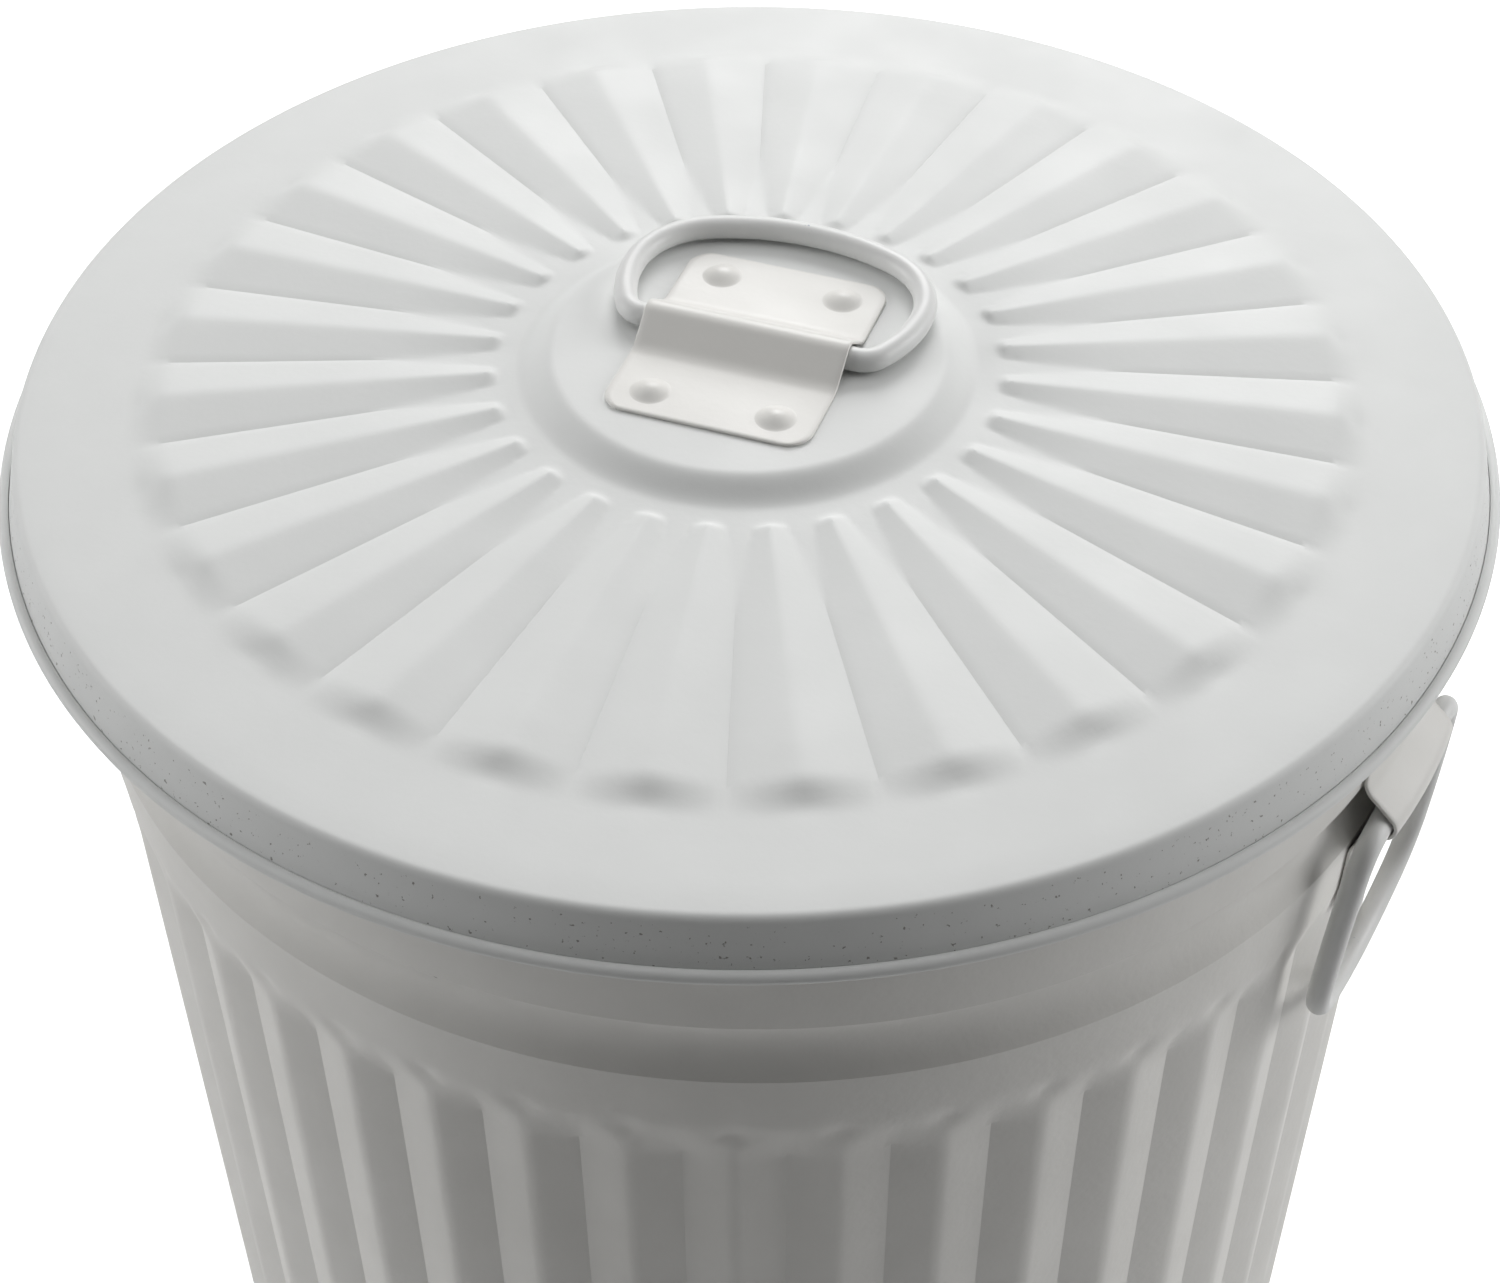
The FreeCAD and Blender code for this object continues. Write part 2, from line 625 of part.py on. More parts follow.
# ---------------------------------------------------------------- lid
lid_turn = math.radians(size("lid_slide_angle"))
lid_base = FreeCAD.Vector(size("lid_shift") * math.cos(lid_turn), size("lid_shift") * math.sin(lid_turn), 0)
LID_X = "sizes.lid_shift * cos(sizes.lid_slide_angle)"
LID_Y = "sizes.lid_shift * sin(sizes.lid_slide_angle)"


def lid_frame(level, direction):
    """Placement above the lid's centre, turned by a direction in degrees."""
    return FreeCAD.Placement(lid_base + upright * level, FreeCAD.Rotation(upright, direction))


def strap_rivet_frames(level, direction):
    """Placements of the lid's four rivets."""
    frames = []
    for across in (1, -1):
        for along in (1, -1):
            spot = FreeCAD.Vector(along * size("strap_rivet_along"), across * size("strap_rivet_across"), 0)
            frames.append(lid_frame(level, direction).multiply(FreeCAD.Placement(spot, FreeCAD.Rotation())))
    return frames


lid_shell = new_body("lid_shell")
lid_sketch = new_sketch(lid_shell, "lid_section", "XZ_Plane")


def edge_curl(radius, swing):
    """Point of the lid's edge curl; swing formulas: parts along the skirt's normal and down the skirt."""
    out, down = swing
    return (f"lid_curl_radius + {radius} * (({out}) * skirt_out + ({down}) * skirt_up)",
            f"lid_curl_level + {radius} * (({out}) * skirt_up - ({down}) * skirt_out)")


CURL_START = ("-1", "0")
CURL_HALF = ("cos(curl_open_angle / 2)", "sin(curl_open_angle / 2)")
CURL_END = ("-cos(curl_open_angle)", "-sin(curl_open_angle)")
step_middle = ("disc_radius + disc_step_width / 2", "disc_level - disc_height / 2")
inner_edge = "(skirt_inner - lid_sheet * skirt_flare / skirt_height)"
outline(lid_sketch, [
    ("0", "disc_level"),
    ("disc_radius", "disc_level", "disc_bend", -1),
    step_middle + ("disc_bend", 1),
    ("disc_foot_radius", "disc_foot_level"),
    ("lid_radius", "0"),
    edge_curl("lid_curl_inner", CURL_START) + ("lid_curl_inner", 1),
    edge_curl("lid_curl_inner", CURL_HALF) + ("lid_curl_inner", 1),
    edge_curl("lid_curl_inner", CURL_END),
    edge_curl("lid_curl_outer", CURL_END) + ("lid_curl_outer", -1),
    edge_curl("lid_curl_outer", CURL_HALF) + ("lid_curl_outer", -1),
    edge_curl("lid_curl_outer", CURL_START),
    (f"lid_radius - {inner_edge}", f"lid_slope * {inner_edge} - lid_sheet"),
    ("disc_foot_radius", "disc_foot_level - lid_sheet", "disc_bend + lid_sheet", -1),
    (f"{step_middle[0]} - lid_sheet * disc_bend_sin", f"{step_middle[1]} - lid_sheet * disc_bend_cos",
     "disc_bend - lid_sheet", 1),
    ("disc_radius", "disc_level - lid_sheet"),
    ("0", "disc_level - lid_sheet"),
])
lid_pressing = revolved(lid_shell, lid_sketch, "lid_turn")


def ring_edges(shape, radius, level):
    """Names of the circular edges with a given radius and height."""
    names = []
    for count, edge in enumerate(shape.Edges, 1):
        curve = edge.Curve
        if not isinstance(curve, Part.Circle):
            continue
        if abs(curve.Radius - radius) < SAME_PLACE and abs(curve.Center.z - level) < SAME_PLACE:
            names.append(f"Edge{count}")
    return names


def rounded(body, base, name, radius, spot_radius, spot_level):
    """Fillet of one circular edge."""
    fillet = body.newObject("PartDesign::Fillet", name)
    fillet.Base = (base, ring_edges(base.Shape, spot_radius, spot_level))
    fillet.setExpression("Radius", radius)
    doc.recompute()
    return fillet


inner_back = size("skirt_inner") - size("lid_sheet") * size("skirt_flare") / size("skirt_height")
lid_outside = rounded(lid_shell, lid_pressing, "edge_outside", "sizes.edge_rounding", size("lid_radius"), 0)
lid_inside = rounded(lid_shell, lid_outside, "edge_inside", "sizes.edge_rounding - sizes.lid_sheet",
                     size("lid_radius") - inner_back, size("lid_slope") * inner_back - size("lid_sheet"))


def ridge(name, kind, drop, start):
    """Ridge with a V section, lofted from its inner end over its peak to its tip."""
    sections = []
    for count, (radius, height) in enumerate(((start, "ridge_inner_height"),
                                              ("ridge_peak_radius", "ridge_peak_height"),
                                              ("ridge_outer_radius", "ridge_tip_height"))):
        section = new_sketch(lid_shell, f"{name}_{count}", "YZ_Plane", bound_sum(radius))
        half = f"({radius}) * tan(180 / ridge_count) * ridge_fill"
        base = f"lid_rise - lid_slope * ({radius}) - {drop}"
        outline(section, [
            (f"-({half})", f"{base} - lid_sheet / 2"),
            (half, f"{base} - lid_sheet / 2"),
            ("0", f"{base} + {height}"),
        ])
        section.Visibility = False
        sections.append(section)
    loft = lid_shell.newObject(kind, name)
    loft.Profile = sections[0]
    loft.Sections = sections[1:]
    loft.Ruled = True
    doc.recompute()
    around = next(item for item in lid_shell.Origin.OriginFeatures if item.Role == "Z_Axis")
    pattern = lid_shell.newObject("PartDesign::PolarPattern", name + "_pattern")
    pattern.Originals = [loft]
    pattern.Axis = (around, [""])
    pattern.Angle = 360
    pattern.setExpression("Occurrences", "sizes.ridge_count")
    doc.recompute()
    lid_shell.Tip = pattern
    return pattern


def bound_sum(formula):
    """Formula for use outside the sheet: every name gets the sheet's own in front."""
    return " ".join("sizes." + word if word.replace("_", "").isalpha() else word for word in formula.split())


ridge("ridge_outside", "PartDesign::AdditiveLoft", "0", "ridge_inner_radius")
ridge("ridge_inside", "PartDesign::SubtractiveLoft", "lid_sheet", "ridge_inner_radius + lid_sheet")
ridge_phase = size("ridge_phase")
strap_swing = size("strap_direction") - ridge_phase
lid_shell_frame = lid_frame(size("lid_plane"), ridge_phase)
lid_inward = lid_shell_frame.inverse()
strap_level = size("lid_plane") + size("disc_level")
strap_top = strap_level + size("strap_sheet")
strap_direction = size("strap_direction")
top_rivets = strap_rivet_frames(strap_top, strap_direction)
drill(lid_shell, [lid_inward.multiply(frame) for frame in top_rivets])
lid_shell.Placement = lid_shell_frame
keep(lid_shell)

lid_edge_wire = doc.addObject("Part::Torus", "lid_edge_wire")
lid_edge_wire.Label = "lid_edge_wire"
lid_edge_wire.setExpression("Radius1", "sizes.lid_curl_radius")
lid_edge_wire.setExpression("Radius2", "sizes.lid_wire_diameter / 2")
place(lid_edge_wire, LID_X, LID_Y, "sizes.lid_plane + sizes.lid_curl_level")
keep(lid_edge_wire)

# Lid strap: x along the rod, y across it, z = 0 on the disc.
lid_strap = new_body("lid_strap")
strap_sketch = new_sketch(lid_strap, "strap_section", "YZ_Plane")
outline(strap_sketch, channel_corners("strap", "lid_rod_stand", "(strap_length / 2 + strap_corner)"))
extruded(lid_strap, strap_sketch, "strap_pad", "sizes.strap_width + 2 * sizes.strap_corner", both=True)
trim(lid_strap, "strap_trim", "strap_width / 2", "strap_length / 2")
strap_inward = lid_frame(strap_level, strap_direction).inverse()
drill(lid_strap, [strap_inward.multiply(frame) for frame in top_rivets])
lid_strap.Placement = lid_frame(strap_level, strap_direction)
keep(lid_strap)
for count, frame in enumerate(top_rivets, 1):
    make_rivet(f"lid_rivet_{count}", "lid_grip", frame)


# ---------------------------------------------------------------- rings
def ring_path(prefix):
    """Half of a D-ring's centre line, from the straight's end to the bow's middle.

    Each arc of radius r turns the heading from h to k: dx = r (sin k - sin h), dy = r (cos h - cos k).
    The bow's radius makes its centre fall on the ring's middle line: r = x / sin h.
    """
    place_x = size(prefix + "_half")
    place_y = 0.0
    heading = 0.0
    spots = []
    for part in ("corner", "side", "shoulder", "bow"):
        if part == "bow":
            radius = place_x / math.sin(heading)
            turn = math.pi - heading
        else:
            radius = size(f"{prefix}_{part}")
            turn = math.radians(size(f"{prefix}_{part}_turn"))
        arc = []
        for share in (0, 0.5, 1):
            aim = heading + turn * share
            arc.append((place_x + radius * (math.sin(aim) - math.sin(heading)),
                        place_y + radius * (math.cos(heading) - math.cos(aim))))
        spots.append(arc)
        place_x, place_y = arc[2]
        heading += turn
    return spots


def make_ring(name, prefix, frame):
    """D-ring of round rod: x along its straight, y toward its bow."""
    right = ring_path(prefix)
    half = size(prefix + "_half")
    edges = [Part.makeLine(origin, FreeCAD.Vector(half, 0, 0))]
    for arc in right:
        edges.append(Part.Arc(*[FreeCAD.Vector(x, y, 0) for x, y in arc]).toShape())
    for arc in reversed(right):
        edges.append(Part.Arc(*[FreeCAD.Vector(-x, y, 0) for x, y in reversed(arc)]).toShape())
    edges.append(Part.makeLine(FreeCAD.Vector(-half, 0, 0), origin))
    circle = Part.makeCircle(size("rod_diameter") / 2, origin, FreeCAD.Vector(1, 0, 0))
    ring = doc.addObject("Part::Feature", name)
    ring.Label = name
    ring.Shape = Part.Wire(edges).makePipeShell([Part.Wire([circle])], True, False)
    ring.Placement = frame
    keep(ring)


make_ring("lid_ring", "lid_ring", lid_frame(size("lid_rod_level"), strap_direction))

# A side ring hangs from its ear until its bow meets the flute crests:
# sin(lean) = (rod stand - bow stand) / reach.
side_reach = ring_path("side_ring")[-1][-1][1]
bow_stand = size("rod_diameter") / 2 + size("ring_rest_gap") - size("flute_set_in")
lean = math.degrees(math.asin((size("ear_rod_stand") - bow_stand) / side_reach))
for side, side_angle in SIDES:
    hang = FreeCAD.Rotation(FreeCAD.Vector(1, 0, 0), 180 + lean)
    rod_frame = wall_frame(side_angle, size("ear_rod_level"), size("ear_rod_stand"))
    make_ring(side + "_ring", "side_ring", rod_frame.multiply(FreeCAD.Placement(origin, hang)))

# ---------------------------------------------------------------- checks and files
doc.recompute()
for item in doc.Objects:
    if {"Invalid", "Error"} & set(item.State):
        raise ValueError(f"{item.Name} did not compute")
os.makedirs("parts", exist_ok=True)
for item in nodes:
    shape = item.Shape
    if shape.isNull() or not shape.isValid() or len(shape.Solids) != 1:
        raise ValueError(f"{item.Label} is not one valid solid")
    shape.exportStep(f"parts/{item.Label}.step")
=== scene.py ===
"""Looks of the lidded sheet-steel can: fluted wall, pressed lid, strap handles and rings, all painted off-white.

Metres, +Z up, the can's axis on Z and its foot on z = 0; the photographed side handle is at +X.
"""
import bpy
import math
import numpy as np
from mathutils import Matrix, Vector


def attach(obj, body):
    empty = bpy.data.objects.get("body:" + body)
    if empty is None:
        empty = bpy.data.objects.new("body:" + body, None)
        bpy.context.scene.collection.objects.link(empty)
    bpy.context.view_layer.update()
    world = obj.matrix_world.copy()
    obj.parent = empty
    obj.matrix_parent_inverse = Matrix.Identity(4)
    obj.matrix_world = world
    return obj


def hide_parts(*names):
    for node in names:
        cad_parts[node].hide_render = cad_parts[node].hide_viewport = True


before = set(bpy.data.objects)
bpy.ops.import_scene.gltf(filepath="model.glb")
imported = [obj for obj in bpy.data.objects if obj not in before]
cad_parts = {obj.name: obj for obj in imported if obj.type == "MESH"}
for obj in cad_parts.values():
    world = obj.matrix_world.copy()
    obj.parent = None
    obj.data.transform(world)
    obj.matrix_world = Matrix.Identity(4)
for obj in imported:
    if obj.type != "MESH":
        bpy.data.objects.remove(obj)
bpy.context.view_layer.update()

MM = 0.001


# ---------------------------------------------------------------- mesh tools
# Every piece is a grid of points, built in millimetres and stored in metres. Rows run along a
# closed section, columns run round or along the piece.
def grid_mesh(name, points, edge=None, close_rows=True, close_columns=True, caps=False, sharp=32.0):
    """Mesh from points[row, column, xyz]; a cap joins a closing row or column end to its own middle."""
    rows, columns = points.shape[:2]
    vertices = points.reshape(-1, 3)
    row_index = np.arange(rows if close_rows else rows - 1)
    column_index = np.arange(columns if close_columns else columns - 1)
    r, c = np.meshgrid(row_index, column_index, indexing="ij")
    r_next = (r + 1) % rows
    c_next = (c + 1) % columns
    quads = np.stack([r * columns + c, r * columns + c_next, r_next * columns + c_next, r_next * columns + c], -1)
    faces = quads.reshape(-1, 4)
    triangles = np.empty((0, 3), dtype=int)
    if caps:
        first = np.arange(columns)
        last = (rows - 1) * columns + first
        count = len(vertices)
        vertices = np.vstack([vertices, points[0].mean(0), points[-1].mean(0)])
        around = np.roll(first, -1)
        triangles = np.vstack([
            np.stack([around, first, np.full(columns, count)], -1),
            np.stack([last, (rows - 1) * columns + around, np.full(columns, count + 1)], -1),
        ])
    mesh = bpy.data.meshes.new(name)
    mesh.vertices.add(len(vertices))
    mesh.vertices.foreach_set("co", (vertices * MM).astype(np.float32).ravel())
    corner_count = faces.size + triangles.size
    mesh.loops.add(corner_count)
    mesh.loops.foreach_set("vertex_index", np.concatenate([faces.ravel(), triangles.ravel()]).astype(np.int32))
    starts = np.concatenate([np.arange(len(faces)) * 4, faces.size + np.arange(len(triangles)) * 3])
    mesh.polygons.add(len(starts))
    mesh.polygons.foreach_set("loop_start", starts.astype(np.int32))
    mesh.update(calc_edges=True)
    mesh.validate()
    mesh.polygons.foreach_set("use_smooth", np.ones(len(mesh.polygons), dtype=bool))
    mesh.set_sharp_from_angle(angle=math.radians(sharp))
    wear = mesh.attributes.new("edge", "FLOAT", "POINT")
    values = np.zeros(len(mesh.vertices))
    if edge is not None:
        values[:edge.size] = edge.ravel()
    wear.data.foreach_set("value", values.astype(np.float32))
    item = bpy.data.objects.new(name, mesh)
    bpy.context.scene.collection.objects.link(item)
    return item


def dress(item, body, nodes, material):
    """Give a piece its material, the body it rides on and the CAD nodes it stands for."""
    item.data.materials.append(material)
    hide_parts(*nodes)
    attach(item, body)


def ease(values, low, high):
    """Smooth step t^2 (3 - 2 t), t = share of the way from low to high."""
    t = np.clip((values - low) / (high - low), 0, 1)
    return t * t * (3 - 2 * t)


def bell(values, middle, width):
    """Gaussian exp(-((v - middle) / width)^2)."""
    return np.exp(-((values - middle) / width) ** 2)


def arc(centre, radius, start, stop, count):
    """Points on a circle, angles in degrees: centre + radius (cos, sin)."""
    angles = np.radians(np.linspace(start, stop, count))
    return np.stack([centre[0] + radius * np.cos(angles), centre[1] + radius * np.sin(angles)], -1)


# ---------------------------------------------------------------- shader groups
# Shared effects: each group takes a position and gives back a normal, a mask or a value.
def new_group(name, inputs, outputs):
    """Empty shader group with its sockets; returns the tree, its input node and its output node."""
    tree = bpy.data.node_groups.new(name, "ShaderNodeTree")
    for label, kind, value in inputs:
        socket = tree.interface.new_socket(label, in_out="INPUT", socket_type=kind)
        if value is not None:
            socket.default_value = value
    for label, kind in outputs:
        tree.interface.new_socket(label, in_out="OUTPUT", socket_type=kind)
    return tree, tree.nodes.new("NodeGroupInput"), tree.nodes.new("NodeGroupOutput")


def add(tree, kind, links=None, **values):
    """Node with fixed socket values by index or name, and links given as {socket: source}."""
    node = tree.nodes.new(kind)
    sockets = values.pop("sockets", {})
    for key, value in values.items():
        setattr(node, key, value)
    for key, value in sockets.items():
        node.inputs[key].default_value = value
    for key, source in (links or {}).items():
        tree.links.new(source, node.inputs[key])
    return node


def noise(tree, position, scale, detail=3.0, roughness=0.5):
    """Noise value at a position."""
    node = add(tree, "ShaderNodeTexNoise", {"Vector": position},
               sockets={"Scale": scale, "Detail": detail, "Roughness": roughness})
    return node.outputs["Fac"]


def spread(tree, value, low, high, to_low=0.0, to_high=1.0):
    """Map a range of values onto another, clamped."""
    node = add(tree, "ShaderNodeMapRange", {0: value}, sockets={1: low, 2: high, 3: to_low, 4: to_high})
    return node.outputs[0]


def arithmetic(tree, operation, first, second):
    """One sum of two values, each a socket or a number."""
    node = tree.nodes.new("ShaderNodeMath")
    node.operation = operation
    for index, value in enumerate((first, second)):
        if isinstance(value, bpy.types.NodeSocket):
            tree.links.new(value, node.inputs[index])
        else:
            node.inputs[index].default_value = value
    return node.outputs[0]


def mixed(tree, factor, first, second):
    """Colour between two colours, each a socket or a tuple."""
    node = tree.nodes.new("ShaderNodeMix")
    node.data_type = "RGBA"
    tree.links.new(factor, node.inputs[0])
    for index, value in ((6, first), (7, second)):
        if isinstance(value, bpy.types.NodeSocket):
            tree.links.new(value, node.inputs[index])
        else:
            node.inputs[index].default_value = (*value, 1.0)
    return node.outputs[2]


# Sprayed paint: a fine orange peel over a slow unevenness of the sheet below.
peel, peel_in, peel_out = new_group(
    "orange_peel",
    [("Position", "NodeSocketVector", None), ("Strength", "NodeSocketFloat", 0.2)],
    [("Normal", "NodeSocketVector")],
)
peel_height = arithmetic(peel, "ADD",
                         arithmetic(peel, "MULTIPLY", noise(peel, peel_in.outputs[0], 420.0, 2.0), 0.4),
                         arithmetic(peel, "MULTIPLY", noise(peel, peel_in.outputs[0], 60.0, 3.0), 1.0))
peel_bump = add(peel, "ShaderNodeBump", {"Height": peel_height, "Strength": peel_in.outputs[1]},
                sockets={"Distance": 0.0006})
peel.links.new(peel_bump.outputs[0], peel_out.inputs[0])

# Specks: scattered dark grains caught in the paint.
speck, speck_in, speck_out = new_group(
    "specks",
    [("Position", "NodeSocketVector", None), ("Spacing", "NodeSocketFloat", 90.0), ("Size", "NodeSocketFloat", 0.05)],
    [("Mask", "NodeSocketFloat")],
)
speck_cells = add(speck, "ShaderNodeTexVoronoi", {"Vector": speck_in.outputs[0], "Scale": speck_in.outputs[1]})
speck_random = add(speck, "ShaderNodeSeparateColor", {0: speck_cells.outputs["Color"]})
speck_rare = arithmetic(speck, "GREATER_THAN", speck_random.outputs[0], 0.975)
speck_near = arithmetic(speck, "LESS_THAN", speck_cells.outputs["Distance"], speck_in.outputs[2])
speck.links.new(arithmetic(speck, "MULTIPLY", speck_rare, speck_near), speck_out.inputs[0])

# Patina: slow drifts of tone in the paint film.
patina, patina_in, patina_out = new_group(
    "patina", [("Position", "NodeSocketVector", None)], [("Tone", "NodeSocketFloat")])
patina_value = arithmetic(patina, "ADD",
                          arithmetic(patina, "MULTIPLY", noise(patina, patina_in.outputs[0], 6.0, 4.0), 0.6),
                          arithmetic(patina, "MULTIPLY", noise(patina, patina_in.outputs[0], 45.0, 3.0), 0.4))
patina.links.new(spread(patina, patina_value, 0.3, 0.7), patina_out.inputs[0])


def painted(name, light, shade, grain, bump=0.2, roughness=0.42, speck_size=0.035, bare=None):
    """Painted steel: tone from the patina, dark grains, orange peel, and bare metal where 'edge' is high."""
    material = bpy.data.materials.new(name)
    material.use_nodes = True
    tree = material.node_tree
    surface = tree.nodes["Principled BSDF"]
    position = tree.nodes.new("ShaderNodeTexCoord").outputs["Object"]
    tone = add(tree, "ShaderNodeGroup", node_tree=patina)
    tree.links.new(position, tone.inputs[0])
    colour = mixed(tree, tone.outputs[0], shade, light)
    grains = add(tree, "ShaderNodeGroup", node_tree=speck)
    tree.links.new(position, grains.inputs[0])
    grains.inputs[1].default_value = grain
    grains.inputs[2].default_value = speck_size
    colour = mixed(tree, grains.outputs[0], colour, (0.34, 0.33, 0.30))
    rough = spread(tree, noise(tree, position, 30.0), 0.3, 0.7, roughness - 0.05, roughness + 0.07)
    if bare is not None:
        wear = add(tree, "ShaderNodeAttribute", attribute_name="edge")
        ragged = arithmetic(tree, "ADD", wear.outputs["Fac"],
                            spread(tree, noise(tree, position, 700.0, 4.0), 0.3, 0.7, -0.5, 0.5))
        mask = spread(tree, ragged, 0.75, 0.85)
        colour = mixed(tree, mask, colour, bare)
    tree.links.new(colour, surface.inputs["Base Color"])
    tree.links.new(rough, surface.inputs["Roughness"])
    relief = add(tree, "ShaderNodeGroup", node_tree=peel)
    tree.links.new(position, relief.inputs[0])
    relief.inputs[1].default_value = bump
    tree.links.new(relief.outputs[0], surface.inputs["Normal"])
    return material


def plain_metal(name, colour, roughness):
    """Bare galvanized wire: grey metal with a slow cloudiness and fine scratches."""
    material = bpy.data.materials.new(name)
    material.use_nodes = True
    tree = material.node_tree
    surface = tree.nodes["Principled BSDF"]
    position = tree.nodes.new("ShaderNodeTexCoord").outputs["Object"]
    cloud = spread(tree, noise(tree, position, 80.0), 0.3, 0.7)
    tree.links.new(mixed(tree, cloud, tuple(0.8 * part for part in colour), colour), surface.inputs["Base Color"])
    tree.links.new(spread(tree, noise(tree, position, 300.0), 0.3, 0.7, roughness, roughness + 0.15),
                   surface.inputs["Roughness"])
    surface.inputs["Metallic"].default_value = 1.0
    relief = add(tree, "ShaderNodeGroup", node_tree=peel)
    tree.links.new(position, relief.inputs[0])
    tree.links.new(relief.outputs[0], surface.inputs["Normal"])
    return material


WARM = (0.80, 0.79, 0.76)
WARM_SHADE = (0.74, 0.73, 0.70)
NEUTRAL = (0.79, 0.80, 0.79)
NEUTRAL_SHADE = (0.75, 0.76, 0.75)
BARE = (0.30, 0.29, 0.27)
wall_paint = painted("wall_paint", WARM, WARM_SHADE, 60.0, bump=0.3, bare=BARE)
lid_paint = painted("lid_paint", NEUTRAL, NEUTRAL_SHADE, 45.0, bump=0.15, roughness=0.55, bare=BARE)
strap_paint = painted("strap_paint", WARM, (0.77, 0.76, 0.73), 50.0, bump=0.15, bare=BARE)
rod_paint = painted("rod_paint", (0.79, 0.79, 0.78), NEUTRAL_SHADE, 55.0, bump=0.15, bare=(0.45, 0.48, 0.55))
wire_metal = plain_metal("wire_metal", (0.56, 0.57, 0.58), 0.35)

# ---------------------------------------------------------------- can wall
# One closed section turned round the can: outside with flutes, groove and band, rim curl, and back
# down the inside. Flutes are V folds with a pinched dimple at each crest's top.
SHEET = 0.8
FOOT_RADIUS = 203.0
RIM_RADIUS = 216.0
CURL_INNER = 2.05
CURL_LEVEL = 577.15
TAPER = (RIM_RADIUS - FOOT_RADIUS) / CURL_LEVEL
FLUTES = 44
FLUTE_PHASE = 2.45
FLUTE_SET_IN = 1.2
FLUTE_DEPTH = 3.5
FLUTE_LEVELS = (49.0, 60.0, 462.0, 484.0)
GROOVE_LEVELS = (503.0, 526.5)
GROOVE_DEPTH = 4.0
WALL_FOOT = 1.1
COLUMNS_PER_FLUTE = 12


def wall_offset(levels, share):
    """How far the wall lies inside its plain cone; share runs 0 at a crest to 1 at a valley."""
    full = ease(levels, *FLUTE_LEVELS[:2]) * (1 - ease(levels, *FLUTE_LEVELS[2:]))
    fold = np.sqrt(share ** 2 + 0.0025) - 0.05
    inset = full * (FLUTE_SET_IN + FLUTE_DEPTH * fold)
    spot = bell(share, 0, 0.28) * bell(levels, 477.5, 4.5)
    middle = sum(GROOVE_LEVELS) / 2
    half = (GROOVE_LEVELS[1] - GROOVE_LEVELS[0]) / 2
    across = np.clip(1 - ((levels - middle) / half) ** 2, 0, None)
    return inset + 1.2 * spot + GROOVE_DEPTH * across


columns = FLUTES * COLUMNS_PER_FLUTE
wall_angles = np.radians(FLUTE_PHASE + np.arange(columns) * 360 / columns)
step = np.arange(columns) % COLUMNS_PER_FLUTE
flute_share = np.minimum(step, COLUMNS_PER_FLUTE - step) * 2 / COLUMNS_PER_FLUTE
outside_levels = np.concatenate([
    [WALL_FOOT, 20, 40], np.linspace(48, 62, 8), np.linspace(90, 455, 12), np.linspace(460, 486, 20),
    [490, 497, 502.6], np.linspace(503, 526.5, 17), [526.9, 540, 560], [CURL_LEVEL],
])
inside_levels = np.concatenate([
    [560, 540, 527.5], np.linspace(526.5, 503, 9), [495, 487], np.linspace(484, 460, 7), [300, 100],
    np.linspace(62, 48, 5), [WALL_FOOT],
])


def wall_rows(levels, inset):
    """Radii [level, column] of the wall, moved inward by an inset."""
    return FOOT_RADIUS + TAPER * levels[:, None] - wall_offset(levels[:, None], flute_share[None]) - inset


curl_centre = (RIM_RADIUS + CURL_INNER, CURL_LEVEL)
curl_in = arc(curl_centre, CURL_INNER, 172, -120, 18)
curl_out = arc(curl_centre, CURL_INNER + SHEET, -120, 180, 20)
curl_section = np.vstack([curl_in, curl_out])
spread_round = np.ones(columns)
wall_radius = np.vstack([wall_rows(outside_levels, 0), curl_section[:, :1] * spread_round,
                         wall_rows(inside_levels, SHEET)])
wall_level = np.concatenate([outside_levels, curl_section[:, 1], inside_levels])
wall_points = np.stack([
    wall_radius * np.cos(wall_angles), wall_radius * np.sin(wall_angles),
    wall_level[:, None] * spread_round,
], -1)
wall_skin = grid_mesh("wall_skin", wall_points, sharp=24.0)
dress(wall_skin, "can", ["can_wall"], wall_paint)

# ---------------------------------------------------------------- lid
# Polar grid: raised disc, soft step, 28 V ridges on a shallow cone, smooth annulus, rounded edge,
# flared skirt, curled bead, and the underside one sheet below.
LID_PLANE = 581.1
LID_RADIUS = 224.7
LID_RISE = 8.0
LID_SLOPE = LID_RISE / LID_RADIUS
LID_CENTRE = np.array([-2.6024, -1.4604])
DISC_RADIUS = 61.7
DISC_STEP = 8.0
STEP_SPILL = (2.0, 1.5)
DISC_HEIGHT = 5.48
DISC_LEVEL = LID_RISE - LID_SLOPE * (DISC_RADIUS + DISC_STEP) + DISC_HEIGHT
RIDGES = 28
RIDGE_PHASE = 7.93
SKIRT_HEIGHT = 17.0
SKIRT_FLARE = 3.4
BEAD_INNER = 1.15
COLUMNS_PER_RIDGE = 20


def cone_level(radius):
    """Height of the lid's cone above its edge plane: rise - slope * radius."""
    return LID_RISE - LID_SLOPE * radius


def ridge_height(radius, share):
    """Height of the ridges over the cone, eased out at the rim with a pinch at each crest's end.

    share runs 0 at a crest to 1 half way to the next.
    """
    crest = np.interp(radius, [76, 79, 167, 180], [0, 1.7, 3.1, 3.1]) * ease(radius, 75.5, 80.5)
    narrow = np.interp(radius, [76, 84, 115], [0.45, 0.62, 1.0])
    across = np.clip(1 - share / narrow, 0, 1)
    fold = crest * (1 - np.sqrt((1 - across) ** 2 + 0.006) + 0.077) * (across > 0)
    pinch = 0.5 * bell(radius, 186, 3.0) * np.clip(1 - share / 0.35, 0, 1)
    return fold * (1 - ease(radius, 178, 190)) - pinch


